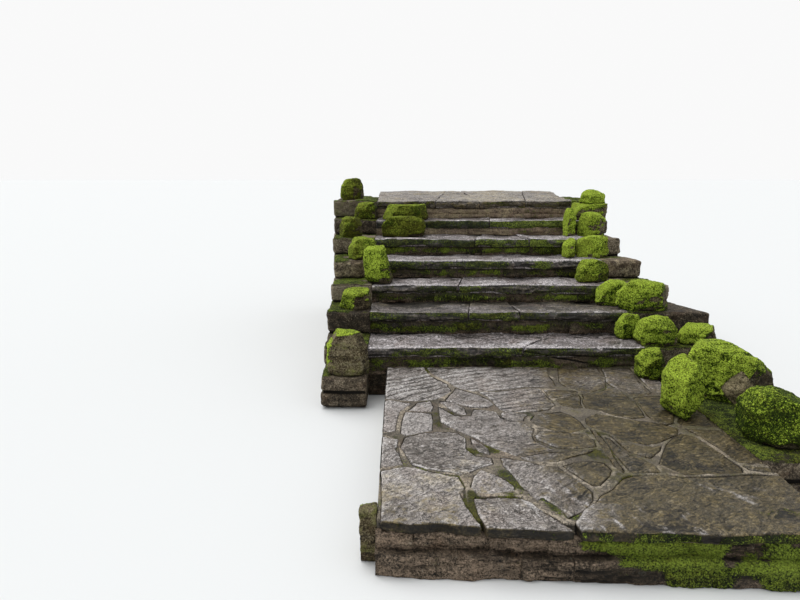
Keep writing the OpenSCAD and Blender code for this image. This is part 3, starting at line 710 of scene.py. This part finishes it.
def work_bed(stone):
    """Mortar with raised pointing along the flags, and moss in its hollows"""
    p = stone.places
    top = stone.facing(2, 1) * smooth(-0.02, -0.012, p[:, 2] - stone.high[2])
    away = nearest_flag(p)
    lumps = layered(p, 0.05, 3, 3)
    there = smooth(-0.15, 0.4, layered(p, 0.16, 3, 31))
    ridge = smooth(0.004, 0.008, away) * there
    wide = smooth(0.015, 0.026, away)
    stone.push(top * (0.0035 + 0.004 * ridge + 0.0018 * lumps))
    p = stone.places
    x, y, z = p.T
    patch = layered(p, 0.3, 3, 21)
    left = smooth(0.0, -0.7, x)
    front = smooth(1.2, 0.5, y)
    ragged = 0.02 * layered(p, 0.06, 3, 24)
    full = np.max([smooth(0.07, 0.01, away_from(p, *joint) + ragged) for joint in MOSSY_JOINTS], 0)
    stone.mark(
        wear=ridge * (0.62 + 0.4 * lumps) * (1 - 0.8 * wide) + 0.1,
        moss=(smooth(0.0, 0.7, patch) * 0.5 + 0.2 * front) * (1 - 0.6 * ridge)
            + 0.4 * full + 0.25 * wide * smooth(-0.2, 0.5, lumps)
            + 0.24 * left * smooth(-0.3, 0.5, layered(p, 0.15, 3, 27)),
        age=0.5 + 0.4 * patch,
        soot=(1 - top) * 0.35 + smooth(0.007, 0.002, away) * 0.45
            + (1 - ridge) * 0.14 + smooth(0.0, -0.8, patch) * 0.3 + 0.2 * left * (1 - front),
        tone=0.45 + 0.5 * noise(p, 0.3, 9) - 0.35 * full,
        sand=left * smooth(1.7, 0.5, y) * 0.2,
        algae=0.24 + 0.35 * patch + 0.4 * smooth(-0.3, 0.5, x))


# Treads that are wetter or drier than the others, and how much
WETTER = {3: 0.75, 4: -0.3, 5: -0.1, 6: -0.1}
# Heights between which the faces of the steps get mossier
MOSSIER = (0.72, 1.0)
# Long crack in the face of the first step: where it starts and ends, as x and z
CRACK = ((0.1, 0.362), (0.64, 0.264))
CRACK_DEPTH = 0.014
# The last riser, of two courses, stands above this height
LAST_RISER_BASE = 1.05


def crack(stone):
    """1 in the crack and 0 away from it, on faces that look to the front"""
    p = stone.places
    x, y, z = p.T
    (x0, z0), (x1, z1) = CRACK
    share = (x - x0) / (x1 - x0)
    off = z - z0 - share * (z1 - z0) - 0.01 * layered(p * ALONG_X, 0.16, 4, 19)
    inside = smooth(-0.02, 0.03, share) * smooth(1.02, 0.97, share) * smooth(2.4, 2.3, y)
    return stone.facing(1, -1) * inside * smooth(0.009, 0.003, np.abs(off))


def work_slab(stone, wet=0.0):
    """Thick tread with a worn top, a broken nosing and a wet, mossy front"""
    p = stone.places
    top = smooth(0.35, 0.75, stone.normals[:, 2])
    front = stone.facing(1, -1)
    back = p[:, 1] - stone.low[1]
    seed = stone.seed
    shape = cleft(p + seed, (0.24, 0.15, 1), 0.014, 0.003, seed)
    shape = shape + 0.0016 * layered(p, (0.08, 0.05, 1), 3, seed + 2)
    nose = smooth(0.05, 0.0, back)
    chips = smooth(0.1, 0.6, layered(p, (0.12, 0.12, 0.06), 3, seed + 3))
    layers = noise(p, (0.2, 0.2, 0.02), seed + 9)
    lumps = layered(p, 0.09, 3, seed + 6)
    bow = layered(p * ALONG_X, 0.3, 4, seed)
    stone.push(top * (shape * (1 - 0.3 * nose) + 0.004 * nose * bow)
               + front * (0.005 * layers + 0.009 * lumps - 0.01 * chips + 0.014 * bow))
    split = crack(stone)
    stone.push(-CRACK_DEPTH * split)

    # Edges broken off along the nosing
    p = stone.places
    brink = smooth(0.045, 0.01, back) * smooth(0.035, 0.005, stone.high[2] - p[:, 2])
    sole = smooth(0.045, 0.01, back) * smooth(0.03, 0.005, p[:, 2] - stone.low[2])
    broken = smooth(0.0, 0.6, layered(p * IN_PLAN, 0.09, 3, seed + 31))
    under = smooth(-0.1, 0.6, layered(p * IN_PLAN, 0.15, 3, seed + 32))
    p[:, 1] += 0.014 * brink * broken + 0.016 * sole * under
    p[:, 2] += 0.014 * sole * under - 0.006 * brink * broken
    stone.read_normals()

    # Tops are pale near the nosing and damp further back, with painted shade in hollows and on low levels
    # and painted highlight on high levels; fronts are dirty, green and mossy, and fronts, sides and faces
    # that look down are darkened with dirt and painted shade
    side = stone.turned(0, 0.25, 0.6) * (1 - stone.facing(1, -1))
    deep = smooth(0.16, 0.36, back)
    dim = layered(p, (0.26, 0.14, 0.2), 4, 14)
    patch = layered(p, (0.26, 0.26, 0.1), 4, 45)
    puddle = smooth(0.1, 0.6, layered(p, (0.15, 0.08, 1), 3, seed + 21))
    hollow = stone.hollow(5, 0.001)
    pale = smooth(0.12 + 0.08 * dim, 0.0, back)
    upper = 0.24 * smooth(*MOSSIER, p[:, 2])
    stone.mark(
        wear=top * (pale * 0.55 + 0.3 * dim + 0.16 + smooth(0.0, 0.006, shape) * 0.2
                    - 0.3 * hollow - 0.3 * puddle * deep - 0.5 * wet) * (1 - side),
        soot=split + front * (0.7 + 0.25 * layers + 0.25 * hollow) + side * 0.9
            + stone.facing(2, -1) * 0.9
            + top * (0.24 * deep + 0.22 * dim + smooth(0.0, -0.006, shape) * 0.25
                     + 0.35 * hollow + 0.4 * puddle * smooth(0.04, 0.12, back) + 0.3 * wet),
        algae=front * (0.8 + 0.4 * patch) + top * (0.05 + 0.25 * dim + 0.25 * deep + 0.6 * wet),
        tone=0.5 + 0.5 * stone.lot(0.4, 4),
        age=0.2 + 0.4 * patch,
        moss=front * (0.46 + 0.75 * patch + upper) * (1 - 0.5 * side)
            + top * 0.4 * nose * smooth(0.2, 0.7, patch)
            + top * 0.3 * deep * smooth(0.5, 0.9, patch))


def work_top_slab(stone):
    """Slab like the treads, but drier, sandier and less worn"""
    work_slab(stone)
    top = stone.facing(2, 1)
    stone.mark(
        wear=stone.marks["wear"] * 0.4,
        tone=stone.marks["tone"] * 0.4 + 0.2,
        sand=(0.5 + 0.25 * layered(stone.places, 0.3, 3, 17)) * top,
        soot=stone.marks["soot"] * (1 - 0.4 * stone.facing(1, -1) - 0.6 * top),
        moss=stone.marks["moss"] * 0.5)


def work_riser(stone):
    """Small walling stones that close up to their neighbours, mossy, with a paler foot"""
    p = stone.places
    front = stone.facing(1, -1)
    side = stone.turned(0)
    layers = noise(p, (0.22, 0.22, 0.018), 2)
    lumps = layered(p, 0.08, 3, 3)
    forward = smooth(-0.3, 0.4, layered(p * IN_PLAN, 0.5, 2, 15))
    stone.push(front * (0.006 * layers + 0.012 * lumps + 0.016 * forward) + side * 0.0045)
    p = stone.places
    patch = layered(p, (0.26, 0.26, 0.1), 4, 52)
    last = 1.0 if stone.low[2] > LAST_RISER_BASE else 0.0
    green = smooth(-0.4, 0.45, patch) * (1 - last * smooth(0.45, 0.25, p[:, 0]))
    split = crack(stone)
    stone.push(front * green * (1 - split) * (0.002 + 0.01 * cushions(p, 0.035, 6))
               - CRACK_DEPTH * split)
    foot = smooth(0.045, 0.0, p[:, 2] - stone.low[2])
    eaves = smooth(0.035, 0.0, stone.high[2] - p[:, 2])
    fine = layered(p, 0.05, 3, 58)
    upper = 0.28 * smooth(*MOSSIER, p[:, 2])
    # Soot holds painted shade under the lip of the slab above and in hollows, and is darker on the sides
    stone.mark(
        moss=front * (0.26 + 0.44 * green + 0.22 * fine + upper) * (1 - 0.6 * foot)
            * (1 - 0.5 * last) * (1 - 0.5 * eaves) * (1 - split),
        algae=(0.6 + 0.4 * patch) * (1 - 0.6 * foot) * (1 - 0.6 * last),
        soot=0.26 + split - 0.22 * green - 0.3 * foot - 0.46 * last + 0.35 * eaves
            + 0.3 * side * (1 - front) + 0.2 * stone.hollow(5, 0.002),
        tone=0.56 + 0.5 * noise(p, 0.3, stone.seed) * (1 - 0.5 * last) + 0.64 * last,
        age=0.25 + 0.4 * noise(p, 0.15, 8),
        sand=last * (0.6 + 0.3 * noise(p, (0.12, 0.12, 0.05), 16)) * (1 - green),
        wear=foot * 0.3 + front * (0.14 + 0.7 * last))


def work_front_wall(stone):
    """Two courses that dirt and moss have nearly closed: earthy on the left, mossy on the right"""
    p = stone.places
    front = stone.facing(1, -1)
    side = stone.turned(0)
    flat = stone.turned(2)
    layers = layered(p, (0.35, 0.35, 0.05), 4, 5)
    ledges = np.floor(layered(p, (0.5, 0.5, 0.08), 4, 9) * 3) / 3
    lumps = layered(p, 0.1, 4, 8)
    stone.push(front * (0.007 * layers + 0.016 * lumps + 0.01 * ledges) + side * 0.005 + flat * 0.006)
    rise = smooth(0.0, 0.05, stone.places[:, 2] - LOWEST[2])
    stone.places[:, 2] += rise * (front + flat) * 0.016 * noise(stone.places, (0.22, 0.5, 0.15), 35)
    stone.settle()
    p = stone.places
    patch = layered(p, (0.22, 0.22, 0.2), 4, 33)
    right = smooth(-0.25, 0.45, p[:, 0])
    low = smooth(0.1, 0.0, p[:, 2] - LOWEST[2])
    green = smooth(0.0, 0.6, patch + 1.25 * right - 0.36 - 0.3 * low)
    side_on = smooth(0.5, 0.9, stone.normals[:, 0])
    green = green * (1 - side_on * smooth(0.2, -0.4, layered(p, 0.1, 4, 37)))
    stone.places += (0.8 * green[:, None] * stone.pull(14)).astype(np.float32)
    stone.read_normals()
    stone.push(green * (0.005 + 0.011 * cushions(p, 0.035, 4) + 0.006 * flat))
    stone.turn_grain(0)
    # Soot holds painted shade in hollows
    stone.mark(
        moss=(0.16 + 0.85 * green) * (1 - flat * (1 - green)),
        algae=0.05 + 0.4 * right + 0.4 * patch,
        soot=0.3 - 0.3 * patch + 0.2 * (1 - front) - 0.3 * layers + 0.2 * stone.hollow(6, 0.002),
        tone=0.66 + 0.5 * layers * (1 - green) + 0.3 * green * (1 + layers) - 0.55 * green * low,
        age=0.05 + 0.4 * noise(p, 0.2, 13),
        wear=front * 0.55 * (1 - right))


def finish_rubble(stone, joint, number):
    """Marks of a wall: a tone for each stone, dark joints, moss on tops, ledges and in joints, painted
    shade in hollows and painted highlight on rims
    """
    p = stone.places
    one, two, three = [corner_value(number, 0, 0, seed) for seed in (5, 6, 7)]
    own = 1 - joint
    patch = layered(p, 0.35, 4, 72)
    fine = layered(p, 0.06, 3, 73)
    hollow = np.clip(stone.hollow(5, 0.003), -1, 1.5)
    top = stone.facing(2, 1) * own
    above = smooth(-0.1, 0.6, patch + 0.25 * fine + 0.42)
    aside = smooth(0.45, 0.95, 0.8 * patch + 0.55 * joint + 0.25 * fine)
    green = top * above + (1 - top) * aside
    stone.push(green * own * (0.002 + 0.007 * cushions(p, 0.04, 7)))
    stone.mark(
        moss=green * 0.8,
        algae=0.12 + 0.35 * patch + own * smooth(0.6, 0.9, three) * 0.45,
        soot=0.1 + joint * 0.95 + 0.3 * hollow - 0.15 * patch * own,
        tone=0.5 + own * 1.1 * (one - 0.5) * (1 - green) - 0.3 * joint + 0.3 * green * fine,
        sand=own * smooth(0.55, 0.85, two) * 0.42,
        age=0.25 + 0.5 * noise(p, 0.25, 77),
        wear=own * (0.1 + 0.3 * smooth(0.6, 0.9, one)) - 0.2 * hollow)


# Height of the bed joints and width of the upright joints in the walls
WALL_JOINT = 0.014
# Mean length of the stones pressed into the low side walls
SIDE_STONE = 0.34


def first_sides(values):
    """Values that have another one a joint's width further on"""
    values = np.unique(values)
    return [value for value in values if np.any(np.abs(values - value - WALL_JOINT) < SAME)]


def wall_joints(stone, along):
    """Distance from each place to its nearest joint and bed joint, and a number for its stone"""
    p = stone.places
    beds = np.array(first_sides(stone.corners[:, 2])) + WALL_JOINT / 2
    course = np.searchsorted(beds, p[:, 2])
    bed_gap = np.abs(p[:, 2:] - beds).min(1)
    gap = bed_gap.copy()
    number = course * 40
    for level, bed in enumerate(beds):
        at_level = np.abs(stone.corners[:, 2] - bed - WALL_JOINT / 2) < SAME
        uprights = np.array(first_sides(stone.corners[at_level, along])) + WALL_JOINT / 2
        if len(uprights):
            own = course == level + 1
            place = p[own, along]
            gap[own] = np.minimum(gap[own], np.abs(place[:, None] - uprights).min(1))
            number[own] += np.searchsorted(uprights, place)
    return gap, bed_gap, number


def work_rubble(stone):
    """Walls in courses: stones with worn rims and rough faces, and joints that wander a little"""
    across = 1 if abs(stone.middle[0]) < 0.5 else 0
    side = 1 if across or stone.middle[0] > 0 else -1
    out = stone.normals[:, across] * side
    far = stone.places[:, across] * side
    near = smooth(0.08, 0.12, far - far.min())
    gap, bed_gap, number = wall_joints(stone, 1 - across)
    ends = np.abs(stone.normals[:, 1 - across])
    gap = np.where(ends > out, bed_gap, gap)
    faces = np.maximum(near * smooth(0.5, 0.85, out), smooth(0.5, 0.85, ends))
    joint = faces * smooth(0.013, 0.006, gap)
    # Joints that the solids have already are left alone; the others are pressed in
    pull = stone.pull(16)
    end_pull = pull[:, 1 - across] * np.sign(stone.normals[:, 1 - across])
    sunk = smooth(0.002, 0.006, np.where(ends > out, end_pull, pull[:, across] * side))
    stone.push(-0.017 * faces * smooth(0.017, 0.004, gap) * (1 - sunk))
    # Rims that stand out of the skin around them wear down
    stone.push(np.clip(1.2 * stone.hollow(8), -0.01, 0))
    p = stone.places
    skin = near * (1 - joint) * smooth(0.5, 0.9, np.max([out, ends, stone.normals[:, 2]], 0))
    lumps = layered(p, 0.11, 4, 70)
    layers = noise(p, (0.3, 0.3, 0.02), 71)
    stone.push(skin * smooth(0.008, 0.025, gap) * (0.004 + 0.01 * lumps + 0.003 * layers))
    wander = near * smooth(0.0, 0.06, p[:, 2] - LOWEST[2])
    stone.places[:, 2] += wander * 0.011 * noise(p, (0.2, 0.2, 0.4), 74)
    stone.places[:, 1 - across] += wander * 0.012 * noise(p, (0.5, 0.5, 0.11), 76)
    stone.settle()
    finish_rubble(stone, joint, number)


def work_side_wall(stone):
    """Plain low wall that gets two courses of stones with pressed-in joints"""
    p = stone.places
    x, y, z = p.T
    seam = (stone.low[2] + stone.high[2]) / 2 + 0.008 * noise(p, (1, 0.3, 1), 81)
    course = (z > seam).astype(np.int64)
    place = y + SIDE_STONE / 2 * course + 0.012 * noise(p, (1, 1, 0.1), 82)
    count = np.floor(place / SIDE_STONE).astype(np.int64)
    cut = (count + 0.15 + 0.5 * corner_value(count, course, 0, 83)) * SIDE_STONE
    number = 40 + 2 * (count + (place > cut)) + course
    joint = smooth(0.012, 0.005, np.minimum(np.abs(place - cut), np.abs(z - seam)))
    outer = smooth(0.5, 0.9, stone.normals[:, 0] * (1 if stone.middle[0] > 0 else -1))
    joint = joint * outer
    stone.push(outer * (0.008 * layered(p, 0.11, 4, 70) - 0.014 * joint))
    finish_rubble(stone, joint, number)


# Stones with less moss than their neighbours, and how much less
BARER = {"left_stones_low": 0.55, "right_stones_level_5": -0.1, "right_slab_low": 0.15}
# The low stone on the left that stands nearer than this has hardly any moss
BARE_FRONT = 1.0
# Bare split faces: the middle of each, how far it reaches, and how pale it is; a less pale face is darker,
# and on right_stone_large the pale and dark faces are painted light and shade
BARE_SPOTS = {
    "right_stone_large": (
        ((1.36, 1.4, 0.33), 0.14, 1.0), ((1.53, 1.44, 0.29), 0.19, 0.0),
        ((1.68, 1.58, 0.32), 0.2, 0.0)),
    "right_stones_level_2": (((1.62, 2.18, 0.42), 0.15, 0.2),),
    "right_stone_broad": (((1.46, 2.56, 0.66), 0.13, 0.1),),
    "right_stone_low": (((1.2, 1.95, 0.27), 0.09, 0.3),)}
# Stones with old or darker moss: how old, and how much darker; on right_stone_front the darkening is
# painted shade, as of leaves over it
OLDER = {
    "left_stones_level_6": (0.7, 0.3), "left_stones_level_7": (0.6, 0.2),
    "left_stone_top": (0.6, 0.15), "left_stone_level_5": (0.5, 0.1),
    "left_stone_level_3": (0.4, 0.1), "right_stone_level_4": (0.5, 0.1),
    "right_stone_front": (0.2, 0.42), "right_stones_level_5": (0.35, -0.25),
    "right_stone_low": (0.35, 0.12), "right_slab_top": (0.15, -0.12),
    "right_stone_large": (0.15, 0.1), "right_stones_level_6": (0.2, -0.12),
    "right_stone_tall": (0.25, -0.12), "right_slab_low": (0.3, -0.1)}
# Stone whose moss is furrowed along the layers of the stone under it
FURROWED = "right_stone_large"
# Flat faces of single stones: the way each looks, and how much of the reach it keeps
SPLIT_FACES = {
    "right_stone_tall": (
        ((0.75, -0.25, -0.6), 0.66), ((-0.8, -0.2, -0.55), 0.74), ((0.6, 0.0, 0.8), 0.78),
        ((-0.65, -0.35, 0.7), 0.8), ((0.1, -1.0, 0.15), 0.78)),
    "right_stone_large": (
        ((0.62, 0.05, 0.78), 0.58), ((-0.6, -0.75, 0.25), 0.74), ((0.3, -0.95, -0.1), 0.72),
        ((-0.5, 0.1, 0.85), 0.92)),
    "right_stone_broad": (
        ((0.85, -0.5, 0.2), 0.6), ((-0.45, -0.85, 0.3), 0.78), ((0.1, -0.1, 1.0), 0.86)),
    "right_stone_front": (
        ((-0.35, -0.85, 0.4), 0.74), ((0.35, -0.1, 0.9), 0.74), ((0.8, -0.5, 0.1), 0.76)),
    "right_stone_low": (((0.8, -0.45, 0.25), 0.66), ((-0.6, -0.6, 0.5), 0.8)),
    "right_stone_level_3": (((-0.7, -0.55, 0.35), 0.76), ((0.2, -0.2, 1.0), 0.84)),
    "right_stone_level_4": (((0.55, -0.7, 0.35), 0.7), ((0.3, 0.0, 1.0), 0.8)),
}


def work_edging(stone, node):
    """Split stone under cushions of moss, barer where the face looks down or right, and darker there as
    painted shade
    """
    seed = stone.seed
    size = float(np.mean(stone.high - stone.low))
    for direction, keep in SPLIT_FACES.get(node, ()):
        stone.cut(direction, keep)
    stone.chisel(5, 0.13 if node in SPLIT_FACES else 0.24)
    p = stone.places
    foot = smooth(0.0, 0.03, p[:, 2] - stone.low[2])
    crag = layered(p, size * 0.5, 3, seed)
    ledges = np.floor(layered(p, (size * 0.8, size * 0.8, size * 0.25), 3, seed + 4) * 3) / 3
    stone.push((size * 0.02 * crag + size * 0.018 * ledges + 0.004 * layered(p, 0.05, 3, seed))
               * (0.2 + 0.8 * foot))

    # Cover of moss, apart from bare faces and overhangs
    p = stone.places
    n = stone.normals
    less = BARER.get(node, 0.0)
    if node == "left_stones_low" and stone.middle[1] < BARE_FRONT:
        less = 1.0
    age, shade_of_moss = OLDER.get(node, (0.15, 0.0))
    lean = n[:, 2] * 0.75 - n[:, 0] * 0.32 - n[:, 1] * 0.05
    cover = smooth(-0.35, 0.05, lean + 0.35 * layered(p, size * 0.45, 3, seed + 9) - less)
    bare = np.zeros(len(p))
    pale = np.zeros(len(p))
    for place, reach, light in BARE_SPOTS.get(node, ()):
        away = (np.abs(p - np.array(place)) * (1, 0.4, 1)).sum(1) + 0.015 * layered(p, 0.08, 3, seed + 17)
        spot = smooth(reach, 0.86 * reach, away)
        bare = np.maximum(bare, spot)
        pale = np.maximum(pale, spot * light)
    cover = cover * (1 - bare)
    strata = layered(p, (0.2, 0.2, 0.03), 3, seed + 5)
    bumps = cushions(p, 0.045, seed) * 0.5 + cushions(p, 0.02, seed + 1) * 0.5
    furrow = np.zeros(len(p))
    if node == FURROWED:
        furrow = smooth(0.0, 0.5, layered(p, (0.45, 0.04, 0.06), 3, seed + 18))
    stone.push(cover * (0.002 + 0.007 * bumps - 0.007 * furrow) + (1 - cover) * 0.005 * strata)
    n = stone.normals
    hollow = stone.hollow(4, 0.003)
    # Painted light: tone is lighter where the face looks up and to the left and darker where it looks down
    # or right; soot, tone and wear also hold painted shade in hollows and painted highlight on ridges
    sunlit = n[:, 2] * 0.8 - n[:, 0] * 0.45 - n[:, 1] * 0.2
    stone.mark(
        moss=cover,
        soot=(1 - cover) * (0.25 + 0.3 * hollow + 0.3 * bare - 0.6 * pale) + (1 - foot) * 0.5,
        tone=0.38 + 0.62 * sunlit - 0.25 * hollow * cover - shade_of_moss - 0.3 * furrow
            + 0.15 * layered(p, 0.12, 3, seed + 14)
            + 0.2 * layered(p, (0.16, 0.03, 0.03), 3, seed + 16),
        age=age + 0.3 * layered(p, 0.15, 3, seed + 15) + 0.2 * (1 - foot),
        algae=(1 - cover) * (0.4 + 0.4 * strata) * (1 - 0.2 * bare),
        wear=(1 - cover) * (0.3 - 0.3 * hollow),
        sand=pale * 0.7)


# Pieces

# Voxels in metres: fine for what is near or small, coarse for the rest and for edging stones that
# are larger than LARGE_STONE from corner to corner
FINE = 0.006
COARSE = 0.007
LARGE_STONE = 0.5
# The walls' numbers of triangles
WALLS = {"right_wall_lower": 18000, "right_wall_middle": 27000, "right_wall_upper": 40000,
         "left_wall": 80000, "back_wall": 46000}


def make_pieces():
    """Dress each node: how it is worked, its finish, its voxels in metres and its triangles"""
    finish = {name: stone_finish(name, **values) for name, values in FINISHES.items()}
    paving = finish["paving_sandstone"]
    walling = finish["walling_stone"]
    rubble = finish["rubble_stone"]
    dressed("landing_flags_front", work_flag, paving, 0.0055, 88000)
    dressed("landing_flags_back", work_flag, paving, 0.0055, 108000)
    dressed("landing_bed", work_bed, finish["mortar"], 0.005, 42000)
    dressed("landing_front_wall", work_front_wall, walling, FINE, 38000)
    dressed("landing_side_walls", work_side_wall, rubble, COARSE, 14000)
    for level in range(2, 8):
        wet = WETTER.get(level, 0.0)
        dressed(f"tread_{level}", lambda stone: work_slab(stone, wet), finish["wet_sandstone"],
                FINE if level < 4 else COARSE, 40000 - 3000 * level)
    for level in range(2, 9):
        dressed(f"riser_{level}", work_riser, walling, FINE, 18000 - 1500 * level)
    dressed("top_slabs", work_top_slab, paving, 0.009, 26000)
    for node, triangles in WALLS.items():
        dressed(node, work_rubble, rubble, COARSE, triangles)
    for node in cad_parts:
        if "_stone" in node or "_slab_" in node:
            low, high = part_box(node)
            span = (high - low).length
            dressed(node, lambda stone: work_edging(stone, node), finish["edging_stone"],
                    COARSE if span > LARGE_STONE else FINE, int(4500 + 11000 * min(span, 1.0)))
    fill = stone_finish("rubble_fill", carried=True, **FINISHES["rubble_stone"])
    for node in ("landing_core", "flight_core"):
        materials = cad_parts[node].data.materials
        materials.clear()
        materials.append(fill)


# Camera, light and floor

def make_camera():
    camera = bpy.data.cameras.new("camera")
    camera.sensor_width = SENSOR_WIDTH
    camera.lens = CAMERA_LENS
    holder = bpy.data.objects.new("camera", camera)
    holder.location = CAMERA_PLACE
    holder.rotation_euler = (math.radians(90 - CAMERA_TILT), 0, 0)
    scene.collection.objects.link(holder)
    scene.camera = holder


def make_light():
    """Soft light of a pale sky, and a white background for the camera and for what mirrors it"""
    scene.world = bpy.data.worlds.new("sky")
    sheet = Sheet(scene.world)
    seen = 0.0
    for ray in ("Is Camera Ray", "Is Glossy Ray", "Is Transmission Ray"):
        seen = sheet.node("LightPath", out=ray) + seen
    soft = sheet.node("Background", {"Color": (0.93, 0.97, 1.0, 1.0), "Strength": SKY_STRENGTH})
    plain = sheet.node("Background", {"Color": (1, 1, 1, 1), "Strength": BACKGROUND_STRENGTH})
    both = sheet.node("MixShader", {0: seen, 1: soft, 2: plain})
    sheet.node("OutputWorld", {"Surface": both}, out=None)
    lamp = bpy.data.lights.new("sky_lamp", "SUN")
    lamp.energy = LAMP_STRENGTH
    lamp.angle = math.radians(LAMP_SPREAD)
    holder = bpy.data.objects.new("sky_lamp", lamp)
    holder.rotation_euler = (*np.radians(LAMP_TILTS), 0)
    scene.collection.objects.link(holder)


def make_floor():
    bpy.ops.mesh.primitive_plane_add(size=FLOOR_WIDTH, location=(0, 0, -FLOOR_DROP))
    floor = bpy.context.object
    floor.name = "floor"
    sheet = Sheet(bpy.data.materials.new("floor"))
    plain = sheet.node("BsdfPrincipled", {
        "Base Color": (0.81, 0.81, 0.8, 1.0), "Roughness": 0.9}, out="BSDF")
    sheet.node("OutputMaterial", {"Surface": plain}, out=None)
    floor.data.materials.append(sheet.holder)


make_camera()
make_pieces()
make_floor()
make_light()
scene.view_settings.view_transform = "Standard"
